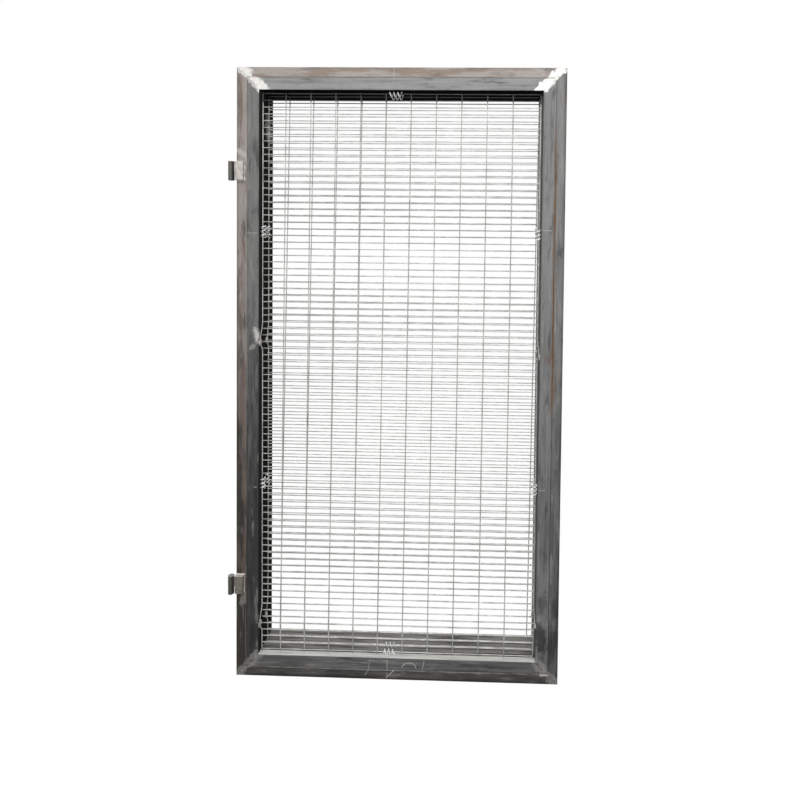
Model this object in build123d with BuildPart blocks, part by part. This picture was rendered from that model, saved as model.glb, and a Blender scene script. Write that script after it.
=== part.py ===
"""Single swing gate leaf for pedestrians: a mitred steel tube frame that carries two welded wire mats.

Millimetres, +Z up, +X from the hinges towards the lock side, +Y from the front of the leaf to its back.
The origin is the middle of the lower hinge's flat weld face, the one that sits on the gate post.
"""

from build123d import *
from math import cos, floor, pi, sin
import os

os.makedirs("parts", exist_ok=True)

# Leaf outline
leaf_width = 1290.0
leaf_height = 2430.0

# Frame tubes: an outer ring, and inside it a shallow front ring with a deeper ring behind
tube_wall = 3.0
tube_corner = 4.5
outer_face = 40.0
inner_face = 50.0
front_depth = 30.0
rear_depth = 110.0
frame_depth = front_depth + rear_depth
frame_face = outer_face + inner_face

# Welded wire mats
wire = 4.0
upright_sides = 8
upright_pitch = 100.0
upright_shift = -10.0
row_sides = 6
row_pitch = 26.6
row_end_gap = 8.0
upright_end_gap = 3.0
front_mat_depth = 17.0
front_edge_gap = 8.0
rear_mat_depth = 62.0
rear_edge_gap = 13.0

# Spiral clips that tie the mats to the frame
spiral_diameter = 20.0
spiral_wire = 3.5
spiral_sides = 6
spiral_pitch = 16.0
spiral_turns = 3
steps_per_turn = 8
top_spiral_gap = 11.0
bottom_spiral_gap = 2.0
rail_spiral_lead = 3.0
low_spiral_height = 770.0
high_spiral_height = 1795.0

# Weld tacks between the mats' edge wires and the stiles
tack_length = 26.0
tack_width = 5.0
hinge_tack_heights = (206.0, 1346.0)
lock_tack_heights = (234.0, 1308.0)

# Hinges
plate_width = 32.0
plate_height = 72.0
plate_thickness = 14.0
plate_edge = 1.5
plate_weld = 4.0
barrel_diameter = 23.0
barrel_gap = 5.0
neck_thickness = 9.0
knuckle_height = 32.0
knuckle_drop = 2.0
bearing_gap = 0.3
barrel_edge = 1.2
pin_diameter = 13.0
pin_clearance = 0.05
pin_seat = 25.0
pin_top_gap = 2.0
sleeve_cap = 6.0
weld_flat = 2.0
lower_hinge_height = 342.0
upper_hinge_drop = 443.0

# Places that follow from the sizes above
axis_x = barrel_diameter / 2 - weld_flat
leaf_x = axis_x + barrel_diameter / 2 + barrel_gap
leaf_y = plate_thickness / 2
leaf_z = knuckle_drop - lower_hinge_height - knuckle_height / 2
upper_hinge_height = leaf_height - upper_hinge_drop
opening_width = leaf_width - 2 * frame_face
opening_height = leaf_height - 2 * frame_face
centre_x = leaf_x + leaf_width / 2
opening_bottom = leaf_z + frame_face
opening_top = opening_bottom + opening_height
opening_left = leaf_x + frame_face
opening_right = opening_left + opening_width
row_span = opening_height - 2 * row_end_gap
row_gaps = round(row_span / row_pitch)
row_step = row_span / row_gaps
row_levels = [opening_bottom + row_end_gap + i * row_step for i in range(row_gaps + 1)]


def save(piece, name):
    """Label a finished piece and write it under its name."""
    piece.part.label = name
    export_step(piece.part, f"parts/{name}.step")


def mitred_tube(corner, run, length, face, depth):
    """Hollow tube with both ends mitred, its outer face starting at a corner of the ring.

    The tube runs from the corner along run. Its depth is along +Y and its face width points into the ring.
    """
    start = Plane(origin=corner, x_dir=(0, 1, 0), z_dir=run)
    inward = start.y_dir
    first_mitre = Plane(origin=corner, x_dir=(0, 1, 0), z_dir=start.z_dir - inward)
    far_corner = start.origin + start.z_dir * length
    last_mitre = Plane(origin=far_corner, x_dir=(0, 1, 0), z_dir=-start.z_dir - inward)
    with BuildPart() as tube:
        with BuildSketch(start):
            with Locations((depth / 2, face / 2)):
                RectangleRounded(depth, face, tube_corner)
                Rectangle(depth - 2 * tube_wall, face - 2 * tube_wall, mode=Mode.SUBTRACT)
        extrude(amount=length)
        split(bisect_by=first_mitre, keep=Keep.TOP)
        split(bisect_by=last_mitre, keep=Keep.TOP)
    return tube


def tube_ring(prefix, inset, front, face, depth):
    """Four mitred tubes that make one ring of the frame, inset from the leaf's outline."""
    left = leaf_x + inset
    right = leaf_x + leaf_width - inset
    bottom = leaf_z + inset
    top = leaf_z + leaf_height - inset
    width = right - left
    height = top - bottom
    sides = {
        "bottom_rail": ((left, front, bottom), (1, 0, 0), width),
        "top_rail": ((right, front, top), (-1, 0, 0), width),
        "hinge_stile": ((left, front, top), (0, 0, -1), height),
        "lock_stile": ((right, front, bottom), (0, 0, 1), height),
    }
    for side, (corner, run, length) in sides.items():
        save(mitred_tube(corner, run, length, face, depth), f"{prefix}_{side}")


def upright_places(edge_gap):
    """Places along X of a mat's uprights: a wire at each edge, and even columns nearer to the hinges."""
    half_edge = opening_width / 2 - edge_gap
    columns = max(1, round((half_edge - upright_pitch / 2) / upright_pitch))
    middle = centre_x + upright_shift
    inner = [middle + upright_pitch * (i + 0.5) for i in range(-columns, columns)]
    return [centre_x - half_edge, *inner, centre_x + half_edge]


def wire_section(sides):
    """Section of a straight wire, with flats on the two sides where the mat's wires cross."""
    RegularPolygon(wire / 2, sides, major_radius=False, rotation=180 / sides)


def wire_mat(name, upright_y, row_y, edge_gap):
    """Uprights and rows of straight wire, each row lying flat against every upright."""
    upright_length = opening_height - 2 * upright_end_gap
    upright_floor = Plane.XY.offset(opening_bottom + upright_end_gap)
    with BuildPart() as uprights:
        with BuildSketch(upright_floor):
            with Locations([(x, upright_y) for x in upright_places(edge_gap)]):
                wire_section(upright_sides)
        extrude(amount=upright_length)
    save(uprights, f"{name}_uprights")

    row_start = opening_left + edge_gap - wire / 2
    row_length = opening_width - 2 * edge_gap + wire
    with BuildPart() as rows:
        with BuildSketch(Plane.YZ.offset(row_start)):
            with Locations([(row_y, z) for z in row_levels]):
                wire_section(row_sides)
        extrude(amount=row_length)
    save(rows, f"{name}_rows")


def spiral(middle, along, first, name):
    """Three-turn spiral clip about an axis, from straight chords of a helix.

    The helix starts on the side that the vector first points to.
    """
    axis = Vector(*along)
    out = Vector(*first).normalized()
    side = axis.cross(out)
    radius = (spiral_diameter - spiral_wire) / 2
    half_length = spiral_pitch * spiral_turns / 2
    count = steps_per_turn * spiral_turns
    points = []
    for i in range(count + 1):
        turn = 2 * pi * i / steps_per_turn
        travel = spiral_pitch * i / steps_per_turn - half_length
        place = Vector(*middle) + axis * travel + out * (radius * cos(turn))
        points.append(place + side * (radius * sin(turn)))
    with BuildPart() as clip:
        with BuildLine() as helix:
            Polyline(*points)
        with BuildSketch(Plane(origin=points[0], z_dir=points[1] - points[0])):
            RegularPolygon(spiral_wire / 2, spiral_sides)
        sweep(path=helix.line, transition=Transition.RIGHT)
    save(clip, name)


def nearest_row_gap(height):
    """Level midway between the two rows that are nearest to a height above the leaf's foot."""
    below = floor((leaf_z + height - row_levels[0]) / row_step)
    return row_levels[below] + row_step / 2


def mat_spirals(name, upright_y, row_y):
    """Six spirals of a mat: one on each rail, round the end row, and two on each stile, round the edge wire.

    Each rail spiral lies just right of the column that is left of the middle.
    """
    rest = spiral_diameter / 2
    column = centre_x + upright_shift - upright_pitch / 2
    half_length = (spiral_pitch * spiral_turns + spiral_wire) / 2
    rail_y = row_y - rail_spiral_lead
    for label, gap, end, side in (
        ("top", top_spiral_gap, opening_top, 1),
        ("bottom", bottom_spiral_gap, opening_bottom, -1),
    ):
        middle = (column + wire / 2 + gap + half_length, rail_y, end - side * rest)
        spiral(middle, (1, 0, 0), (0, 0, side), f"{name}_spiral_{label}")
    middle_y = (upright_y + row_y) / 2
    across = row_y - middle_y
    radius = (spiral_diameter - spiral_wire) / 2
    inside = (radius**2 - across**2) ** 0.5
    for label, height in (("low", low_spiral_height), ("high", high_spiral_height)):
        level = nearest_row_gap(height)
        hinge_side = (opening_left + rest, middle_y, level)
        lock_side = (opening_right - rest, middle_y, level)
        spiral(hinge_side, (0, 0, 1), (inside, across, 0), f"{name}_spiral_hinge_{label}")
        spiral(lock_side, (0, 0, 1), (-inside, across, 0), f"{name}_spiral_lock_{label}")


def mat_tacks(name, upright_y, edge_gap):
    """Weld tacks that fill the gap between each edge wire and its stile."""
    gap = edge_gap - wire / 2
    with BuildPart() as tacks:
        for middle_x, heights in (
            (opening_left + gap / 2, hinge_tack_heights),
            (opening_right - gap / 2, lock_tack_heights),
        ):
            for height in heights:
                with BuildSketch(Plane.XY.offset(leaf_z + height - tack_length / 2)):
                    with Locations((middle_x, upright_y)):
                        Rectangle(gap, tack_width)
                extrude(amount=tack_length)
    save(tacks, name)


def hinge(name, height):
    """One lift-off hinge: plate, neck and sleeve on the leaf, knuckle and pin on the post."""
    foot = leaf_z + height
    knuckle_foot = foot - knuckle_drop
    knuckle_top = knuckle_foot + knuckle_height
    shoulder = knuckle_top + bearing_gap
    top = foot + plate_height
    bore_radius = pin_diameter / 2 + pin_clearance

    with BuildPart() as leaf_half:
        with BuildSketch(Plane.XY.offset(foot)):
            with Locations((leaf_x, leaf_y)):
                Rectangle(plate_width, plate_thickness, align=(Align.MIN, Align.MAX))
        extrude(amount=plate_height)
        chamfer(leaf_half.faces().sort_by(Axis.Y)[0].edges(), length=plate_edge)
        with BuildSketch(Plane(origin=(leaf_x, leaf_y, foot), x_dir=(1, 0, 0), z_dir=(0, -1, 0))):
            with Locations((0, plate_height / 2)):
                Rectangle(
                    plate_width + plate_weld,
                    plate_height + 2 * plate_weld,
                    align=(Align.MIN, Align.CENTER),
                )
        extrude(amount=plate_weld, taper=45)
        with BuildSketch(Plane.XY.offset(shoulder)):
            with Locations((axis_x, 0)):
                Rectangle(leaf_x - axis_x, neck_thickness, align=(Align.MIN, Align.CENTER))
                Circle(barrel_diameter / 2)
        extrude(amount=top - shoulder)
        chamfer(leaf_half.edges().filter_by(GeomType.CIRCLE).sort_by(Axis.Z)[-1], length=barrel_edge)
        with BuildSketch(Plane.XY.offset(shoulder)):
            with Locations((axis_x, 0)):
                Circle(bore_radius)
        extrude(amount=top - sleeve_cap - shoulder, mode=Mode.SUBTRACT)
    save(leaf_half, f"{name}_hinge_leaf")

    with BuildPart() as knuckle:
        with BuildSketch(Plane.XY.offset(knuckle_foot)):
            with Locations((axis_x, 0)):
                Circle(barrel_diameter / 2)
        extrude(amount=knuckle_height)
        chamfer(knuckle.edges().filter_by(GeomType.CIRCLE).sort_by(Axis.Z)[0], length=barrel_edge)
        split(bisect_by=Plane.YZ, keep=Keep.TOP)
        with BuildSketch(Plane.XY.offset(knuckle_top)):
            with Locations((axis_x, 0)):
                Circle(pin_diameter / 2)
        extrude(amount=-pin_seat, mode=Mode.SUBTRACT)
    save(knuckle, f"{name}_hinge_post")

    pin_foot = knuckle_top - pin_seat
    pin_length = top - sleeve_cap - pin_top_gap - pin_foot
    with BuildPart() as pin:
        with BuildSketch(Plane.XY.offset(pin_foot)):
            with Locations((axis_x, 0)):
                Circle(pin_diameter / 2)
        extrude(amount=pin_length)
    save(pin, f"{name}_hinge_pin")


# Frame
tube_ring("outer", 0, leaf_y, outer_face, frame_depth)
tube_ring("front", outer_face, leaf_y, inner_face, front_depth)
tube_ring("rear", outer_face, leaf_y + front_depth, inner_face, rear_depth)

# Mats, with the rows of each on the side that faces the other mat
front_upright_y = leaf_y + front_mat_depth
front_row_y = front_upright_y + wire
rear_upright_y = leaf_y + rear_mat_depth
rear_row_y = rear_upright_y - wire
wire_mat("front_mat", front_upright_y, front_row_y, front_edge_gap)
wire_mat("rear_mat", rear_upright_y, rear_row_y, rear_edge_gap)

# Fixings of the mats
mat_spirals("front", front_upright_y, front_row_y)
mat_spirals("rear", rear_upright_y, rear_row_y)
mat_tacks("front_tacks", front_upright_y, front_edge_gap)
mat_tacks("rear_tacks", rear_upright_y, rear_edge_gap)

# Hinges
hinge("lower", lower_hinge_height)
hinge("upper", upper_hinge_height)
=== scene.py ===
import logging
import math
import random
from dataclasses import dataclass, field
from enum import Enum
from typing import Any, Callable, Sequence

import bpy
from mathutils import Matrix, Vector


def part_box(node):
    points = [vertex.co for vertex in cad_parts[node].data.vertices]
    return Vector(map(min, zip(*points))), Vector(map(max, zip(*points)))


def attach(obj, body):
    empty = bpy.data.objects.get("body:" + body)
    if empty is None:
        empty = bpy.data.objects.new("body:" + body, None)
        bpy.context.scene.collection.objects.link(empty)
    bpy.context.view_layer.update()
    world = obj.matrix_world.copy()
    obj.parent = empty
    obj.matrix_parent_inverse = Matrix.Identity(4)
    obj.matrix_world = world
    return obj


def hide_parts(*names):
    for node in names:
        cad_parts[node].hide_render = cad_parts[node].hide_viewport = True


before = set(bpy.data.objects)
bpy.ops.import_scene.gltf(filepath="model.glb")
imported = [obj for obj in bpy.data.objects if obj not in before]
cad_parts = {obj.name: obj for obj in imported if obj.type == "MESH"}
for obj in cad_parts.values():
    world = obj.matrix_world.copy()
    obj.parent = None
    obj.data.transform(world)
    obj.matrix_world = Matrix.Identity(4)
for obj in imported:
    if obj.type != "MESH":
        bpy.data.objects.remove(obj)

LOG = logging.getLogger("pedestrian_gate")
MM = 0.001
LEAF_BODY = "leaf"
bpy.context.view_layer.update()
EVEN = (1, 1, 1)
SMOOTH = {"interpolation_type": "SMOOTHSTEP"}
WHITE = (1, 1, 1, 1)
# From the front of the leaf to its back
INTO = Vector((0, 1, 0))
Socket = bpy.types.NodeSocket
Material = bpy.types.Material


class Side(Enum):
    """The two broad sides of the leaf."""

    FRONT = "front"
    REAR = "rear"


class Run(Enum):
    """The direction in which a frame tube was rolled."""

    RAIL = "rail"
    STILE = "stile"


def linear(hex_colour: str) -> tuple[float, float, float, float]:
    """Turn an sRGB hex colour into linear values.

    Args:
        hex_colour: six hex digits, such as "8a8d90".

    Returns:
        Linear red, green, blue and an alpha of 1.
    """
    channels = [int(hex_colour[i : i + 2], 16) / 255 for i in (0, 2, 4)]
    curve = [c / 12.92 if c <= 0.04045 else ((c + 0.055) / 1.055) ** 2.4 for c in channels]
    return (curve[0], curve[1], curve[2], 1.0)


def feed(tree: bpy.types.NodeTree, node: bpy.types.Node, links: dict[str | int, Any]) -> None:
    """Set a node's inputs.

    Args:
        tree: the tree that the node is in.
        node: the node.
        links: for each input, a value or the output socket that feeds it.
    """
    for name, value in links.items():
        if isinstance(value, Socket):
            tree.links.new(value, node.inputs[name])
        else:
            node.inputs[name].default_value = value


def add_node(
    tree: bpy.types.NodeTree,
    kind: str,
    settings: dict[str, Any] | None = None,
    links: dict[str | int, Any] | None = None,
) -> bpy.types.Node:
    """Add one node with its settings and links.

    Args:
        tree: the node tree that the node goes into.
        kind: the node's type name.
        settings: attributes of the node.
        links: for each input, a value or the output socket that feeds it.

    Returns:
        The new node.
    """
    node = tree.nodes.new(kind)
    for name, value in (settings or {}).items():
        setattr(node, name, value)
    feed(tree, node, links or {})
    return node


def empty_tree(owner: bpy.types.ID) -> bpy.types.NodeTree:
    """Give a material or a world an empty node tree."""
    owner.use_nodes = True
    owner.node_tree.nodes.clear()
    return owner.node_tree


def place_object(name: str, data: bpy.types.ID) -> bpy.types.Object:
    """Put a mesh, a lamp or a camera into the scene as an object."""
    made = bpy.data.objects.new(name, data)
    bpy.context.scene.collection.objects.link(made)
    return made


def points_of(node: str) -> list[Vector]:
    """The points of a CAD node's mesh."""
    return [v.co.copy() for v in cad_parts[node].data.vertices]


def extent(points: Sequence[Vector]) -> tuple[Vector, Vector]:
    """Lowest and highest corner of the box round some points."""
    low, high = (Vector([pick(p[i] for p in points) for i in range(3)]) for pick in (min, max))
    return low, high


def quarters(node: str) -> dict[tuple[bool, bool], list[Vector]]:
    """Points of a CAD node that has a part in each corner of the leaf.

    Args:
        node: the node's name.

    Returns:
        Each part's points, by whether the part is on the hinge side and whether it is low.
    """
    points = points_of(node)
    middle_x, middle_z = (sum(p[k] for p in points) / len(points) for k in (0, 2))
    groups: dict[tuple[bool, bool], list[Vector]] = {}
    for point in points:
        groups.setdefault((point.x < middle_x, point.z < middle_z), []).append(point)
    return groups


@dataclass(frozen=True)
class Smear:
    """A patch on a tube's face: bright where a grinder or a weld's heat cleaned it, dark where it burnt."""

    across: float
    height: float
    half_across: float
    half_height: float
    tilt: float = 0.0
    share: float = 1.0
    colour: str = "b9b7b2"
    on_flank: bool = False


class Surface:
    """One material under construction: its tree, its shader and the sums that its patterns need."""

    RAGGED = 2.6

    def __init__(self, name: str, specular: float) -> None:
        """Start a material.

        Args:
            name: the material's name.
            specular: the shader's specular level.
        """
        self.material = bpy.data.materials.new(name)
        self.tree = empty_tree(self.material)
        self.shader = add_node(self.tree, "ShaderNodeBsdfPrincipled", links={"Specular IOR Level": specular})
        add_node(self.tree, "ShaderNodeOutputMaterial", links={"Surface": self.shader.outputs["BSDF"]})
        self.place = add_node(self.tree, "ShaderNodeTexCoord").outputs["Object"]
        self.axes = add_node(self.tree, "ShaderNodeSeparateXYZ", links={0: self.place}).outputs

    def sum(self, operation: str, *values: Any) -> Socket:
        """Work out one sum of up to three values."""
        links = dict(enumerate(values))
        return add_node(self.tree, "ShaderNodeMath", {"operation": operation}, links).outputs[0]

    def product(self, value: Any, *others: Any) -> Any:
        """Multiply values, such as the masks that a pattern has to pass."""
        for other in others:
            value = self.sum("MULTIPLY", value, other)
        return value

    def apart(self, one: Any, other: Any) -> Socket:
        """How far apart two values are."""
        return self.sum("ABSOLUTE", self.sum("SUBTRACT", one, other))

    def swing(self, value: Any, by: Any, reach: float) -> Socket:
        """Move a value up where another is over one half, and down where it is under."""
        return self.sum("MULTIPLY_ADD", self.sum("SUBTRACT", by, 0.5), reach, value)

    def span(self, value: Any, low: float, high: float, to_low: float = 0.0, to_high: float = 1.0) -> Socket:
        """Map a value smoothly from low and high to to_low and to_high, and keep it between them."""
        links = {"Value": value, "From Min": low, "From Max": high, "To Min": to_low, "To Max": to_high}
        return add_node(self.tree, "ShaderNodeMapRange", SMOOTH, links).outputs[0]

    def noise(
        self,
        size_mm: float,
        stretch: tuple[float, float, float] = EVEN,
        detail: float = 3.0,
        shift: float = 0.0,
    ) -> Socket:
        """Noise whose blotches have a real size.

        Args:
            size_mm: the size of a blotch in millimetres.
            stretch: how many times longer it is along each axis.
            detail: how many finer layers it has.
            shift: moves the pattern, so that two finishes differ.

        Returns:
            The noise, about 0 to 1.
        """
        place = {
            "Vector": self.place,
            "Location": (shift, shift * 0.7, shift * 1.3),
            "Scale": Vector([1 / (size_mm * MM * s) for s in stretch]),
        }
        mapped = add_node(self.tree, "ShaderNodeMapping", links=place).outputs[0]
        links = {"Vector": mapped, "Scale": 1.0, "Detail": detail, "Roughness": 0.6}
        return add_node(self.tree, "ShaderNodeTexNoise", links=links).outputs[0]

    def mix(self, share: Any, under: Any, over: Any) -> Socket:
        """Lay one colour over another by a share. A colour is a socket or an sRGB hex value."""
        under, over = (linear(colour) if isinstance(colour, str) else colour for colour in (under, over))
        settings = {"data_type": "RGBA", "clamp_factor": True}
        return add_node(self.tree, "ShaderNodeMix", settings, {0: share, 6: under, 7: over}).outputs[2]

    def blend(self, share: Any, under: Any, over: Any) -> Socket:
        """Blend one number into another by a share."""
        settings = {"data_type": "FLOAT", "clamp_factor": True}
        return add_node(self.tree, "ShaderNodeMix", settings, {0: share, 2: under, 3: over}).outputs[0]

    def patch(self, smear: Smear, edge: Any) -> Socket:
        """Mask of a smear on the leaf's front or on a flank.

        Args:
            smear: the oval patch.
            edge: noise that frays its rim.

        Returns:
            1 inside the patch and 0 outside.
        """
        away_x = self.sum("SUBTRACT", self.axes[1 if smear.on_flank else 0], smear.across)
        away_z = self.sum("SUBTRACT", self.axes[2], smear.height)
        level, lean = math.cos(math.radians(smear.tilt)), math.sin(math.radians(smear.tilt))
        squares = []
        for own, other, half, part in (
            (away_x, away_z, smear.half_across, lean),
            (away_z, away_x, smear.half_height, -lean),
        ):
            turned = self.sum("ADD", self.product(own, level / half), self.product(other, part / half))
            squares.append(self.product(turned, turned))
        far = self.sum("SQRT", self.sum("ADD", *squares))
        return self.span(self.swing(far, edge, self.RAGGED), 0.55, 1.25, 1.0, 0.0)

    def finish(
        self, colour: Any, roughness: Any, metallic: Any, bumps: Sequence[tuple[Any, float]]
    ) -> Material:
        """Connect the patterns to the shader.

        Args:
            colour: the base colour.
            roughness: the roughness.
            metallic: the metallic share.
            bumps: height patterns, each with its depth in metres.

        Returns:
            The finished material.
        """
        links = {"Base Color": colour, "Roughness": roughness, "Metallic": metallic}
        normal: dict[str, Socket] = {}
        for height, depth in bumps:
            bump = {"Height": height, "Distance": depth, "Strength": 1.0}
            normal = {"Normal": add_node(self.tree, "ShaderNodeBump", links=bump | normal).outputs[0]}
        feed(self.tree, self.shader, links | normal)
        return self.material


@dataclass(frozen=True)
class Leaf:
    """Sizes of the leaf, read from the CAD frame, in metres."""

    left: float
    right: float
    foot: float
    head: float
    front: float
    back: float
    outer_face: float
    frame_face: float
    front_depth: float
    corner: float = 4.5 * MM

    @classmethod
    def from_frame(cls) -> "Leaf":
        """Read the leaf's sizes from the boxes of the CAD nodes."""
        low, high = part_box("outer_hinge_stile")
        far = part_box("outer_lock_stile")[1]
        inner_low, inner_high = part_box("front_hinge_stile")
        return cls(
            left=low.x,
            right=far.x,
            foot=low.z,
            head=high.z,
            front=low.y,
            back=high.y,
            outer_face=high.x - low.x,
            frame_face=inner_high.x - low.x,
            front_depth=inner_high.y - inner_low.y,
        )

    @property
    def centre(self) -> tuple[float, float]:
        """Middle of the leaf along X and Z."""
        return ((self.left + self.right) / 2, (self.foot + self.head) / 2)

    def skin(self, inset: float, side: Side) -> float:
        """How far along Y the frame's surface lies at a distance in from the leaf's outline.

        Args:
            inset: distance in from the outline, in metres.
            side: which broad side.

        Returns:
            The surface's place along Y.
        """
        drop = 0.0
        for start, end in ((0.0, self.outer_face), (self.outer_face, self.frame_face)):
            if start <= inset <= end:
                edge = min(inset - start, end - inset)
                if edge < self.corner:
                    drop = self.corner - math.sqrt(max(0.0, self.corner**2 - (self.corner - edge) ** 2))
        return self.front + drop if side is Side.FRONT else self.back - drop


@dataclass(frozen=True)
class MillScale:
    """Hot-rolled mild steel tube with its mill scale on.

    The scale is a thin grey oxide that is hardly metallic and gives a dull sheen, streaked along the tube by
    the rolls. Where it stood wet it blooms brown, and where a grinder went over it the steel shows. It also
    carries painted light and shade: lighter towards the head, lit and shaded flanks with painted wire
    shadows, a painted shadow in the slot and a painted highlight along the seam.
    """

    # Half widths of the rusty seam and of the painted seam highlight
    RUSTY_SEAM, BRIGHT_SEAM = 5.5 * MM, 2.2 * MM
    MITRE_SHIFT, NECK_INSET = 17 * MM, 30 * MM

    name: str
    run: Run
    light: str
    dark: str
    bloom: str
    bloom_share: float
    seam: str
    seam_share: float
    flank: str
    rear_flank: str
    band: str
    rim_share: float
    painted_light_rise_share: float
    shift: float = 0.0
    seam_fades: bool = False
    smears: tuple[Smear, ...] = ()

    def make(self, leaf: Leaf) -> Material:
        """Build the material.

        Args:
            leaf: the leaf's sizes, for the mitres and the change of tone from head to foot, which is painted
                light.

        Returns:
            The material.
        """
        made = Surface(self.name, 0.02)
        sums, span, mix, noise = made.sum, made.span, made.mix, made.noise
        product, apart, shift = made.product, made.apart, self.shift
        along, longer = ((1, 1, 30), (1, 1, 5)) if self.run is Run.STILE else ((30, 1, 1), (5, 1, 1))
        height = made.axes[2]
        rise = span(height, leaf.foot, leaf.head)

        # Streaks of the rolls are 2 to 6 mm wide and over 100 mm long
        streaks = noise(6, along, 2.0, shift)
        broad = noise(16, along, 3.0, shift + 3)
        blotches = noise(38, longer, 5.0, shift + 7)
        stains = noise(24, longer, 5.0, shift + 13)
        specks = noise(5, EVEN, 4.0, shift + 11)
        grit = noise(2.5, EVEN, 2.0, shift)

        tone = sums("MULTIPLY_ADD", streaks, 0.3, product(broad, 0.35))
        # Painted light: the tone swings lighter towards the head, where more light falls
        tone = made.swing(sums("MULTIPLY_ADD", blotches, 0.35, tone), rise, self.painted_light_rise_share)
        colour = mix(span(tone, 0.31, 0.69), self.dark, self.light)
        colour = mix(span(specks, 0.6, 0.72, 0.0, 0.4), colour, "2c2b2b")
        colour = mix(span(stains, 0.53, 0.68, 0.0, 0.5), colour, "2d2c2c")
        colour = mix(span(stains, 0.32, 0.44, 0.35, 0.0), colour, "b4b2ae")

        # Rust bloom, in patches a few centimetres across
        wet = sums("MULTIPLY_ADD", streaks, 0.35, blotches)
        bloom = span(wet, 0.86 - self.bloom_share, 1.02 - self.bloom_share)
        colour = mix(product(bloom, 0.7), colour, self.bloom)
        colour = mix(product(bloom, span(grit, 0.5, 0.75, 0.0, 0.45)), colour, "5b4234")

        # The valley between the outer and the inner tubes: a painted highlight that lifts it out of its
        # shade, except on the lock side, where it is filled with rust
        off_x = sums("SUBTRACT", (leaf.right - leaf.left) / 2, apart(made.axes[0], leaf.centre[0]))
        off_z = sums("SUBTRACT", (leaf.head - leaf.foot) / 2, apart(height, leaf.centre[1]))
        inset = sums("MINIMUM", off_x, off_z)
        valley = made.swing(apart(inset, leaf.outer_face), broad, 4 * MM)
        half_seam = self.RUSTY_SEAM if self.seam_fades else self.BRIGHT_SEAM
        in_seam = product(
            span(valley, half_seam * 0.5, half_seam * 1.6, self.seam_share, 0.0),
            span(noise(12, longer, 4.0, shift + 4), 0.36, 0.58, 0.25, 1.0),
        )
        if self.seam_fades:
            from_foot = span(height, leaf.foot + 0.95, leaf.foot + 1.25, 0.12, 1.0)
            in_seam = product(in_seam, from_foot, span(height, leaf.head - 0.36, leaf.head - 0.16, 1.0, 0.0))
        elif self.run is Run.STILE:
            in_seam = product(in_seam, span(rise, 0.35, 0.6, 0.45, 1.0))
        colour = mix(in_seam, colour, self.seam)

        # The outermost rounding is darker: a dark outline, broader where its share is larger. The mask goes
        # by the inset alone, so the leaf's outer side faces have it too
        on_rim = span(inset, 1.5 * MM, (8 + 18 * self.rim_share) * MM, self.rim_share, 0.0)
        colour = mix(on_rim, colour, "2a2827")

        # The faces that look into the opening: painted light and shade by which way each one faces, with
        # painted stripes of the wires' shadows and a painted shadow in the slot where the two inner tubes
        # meet
        on_flank = span(inset, leaf.frame_face - 2.4 * MM, leaf.frame_face - 0.8 * MM)
        depth = sums("SUBTRACT", made.axes[1], leaf.front)
        behind = span(depth, leaf.front_depth - 2 * MM, leaf.front_depth + 2 * MM)
        flank_light_and_shade = mix(behind, self.flank, self.rear_flank)
        wire_shadow_noise = noise(9, along, 3.0, shift + 19)
        wire_shadows = product(span(wire_shadow_noise, 0.45, 0.62), made.blend(behind, 0.25, 0.6))
        colour = mix(on_flank, colour, mix(wire_shadows, flank_light_and_shade, self.band))
        # The tubes' roundings lie deeper than the flank, so the slot's painted shadow has a mask of its own
        slot_shadow = product(
            span(inset, leaf.frame_face - 7 * MM, leaf.frame_face - 6 * MM, 0.0, 0.95),
            span(apart(depth, leaf.front_depth), 5.5 * MM, 7.5 * MM, 1.0, 0.0),
        )
        colour = mix(slot_shadow, colour, "0b0b0a")

        # The mitre welds were ground flush: wide and silver at the head, dull and scratched at the foot
        fray = product(noise(9, EVEN, 2.0, shift + 2), 0.4)
        fray = sums("MULTIPLY_ADD", noise(28, EVEN, 2.0, 2.0), 0.6, fray)
        mitre = sums("SUBTRACT", off_x, off_z)
        mitre = sums("SUBTRACT", mitre, product(span(rise, 0.35, 0.75), self.MITRE_SHIFT))
        mitre = made.swing(sums("ABSOLUTE", mitre), fray, 70 * MM)
        neck = span(apart(inset, self.NECK_INSET), 0.0, 18 * MM, 11 * MM, 0.0)
        ground = product(
            span(sums("ADD", mitre, neck), 21 * MM, 33 * MM, 1.0, 0.0),
            span(rise, 0.35, 0.75, 0.62, 1.0),
            sums("SUBTRACT", 1.0, on_flank),
        )
        scratches = span(noise(1.4, (1, 1, 12), 2.0, 4.0), 0.3, 0.7)
        silver, dull = mix(scratches, "c9c8c4", "f0ede8"), mix(scratches, "7c7a77", "a8a6a1")
        colour = mix(ground, colour, mix(span(rise, 0.3, 0.7), dull, silver))

        for smear in self.smears:
            where = on_flank if smear.on_flank else span(depth, 5 * MM, 9 * MM, 1.0, 0.0)
            spot = product(made.patch(smear, fray), where, smear.share)
            colour = mix(spot, colour, smear.colour)

        rough = span(sums("MULTIPLY_ADD", specks, 0.5, streaks), 0.4, 1.1, 0.56, 0.74)
        for mask, roughness in ((bloom, 0.8), (ground, 0.42), (on_flank, 1.0)):
            rough = made.blend(mask, rough, roughness)
        metal = made.blend(ground, made.blend(bloom, 0.02, 0.01), 0.4)
        bumps = [(grit, 0.12 * MM), (blotches, 0.5 * MM), (streaks, 0.08 * MM)]
        return made.finish(colour, rough, metal, bumps)


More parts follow.
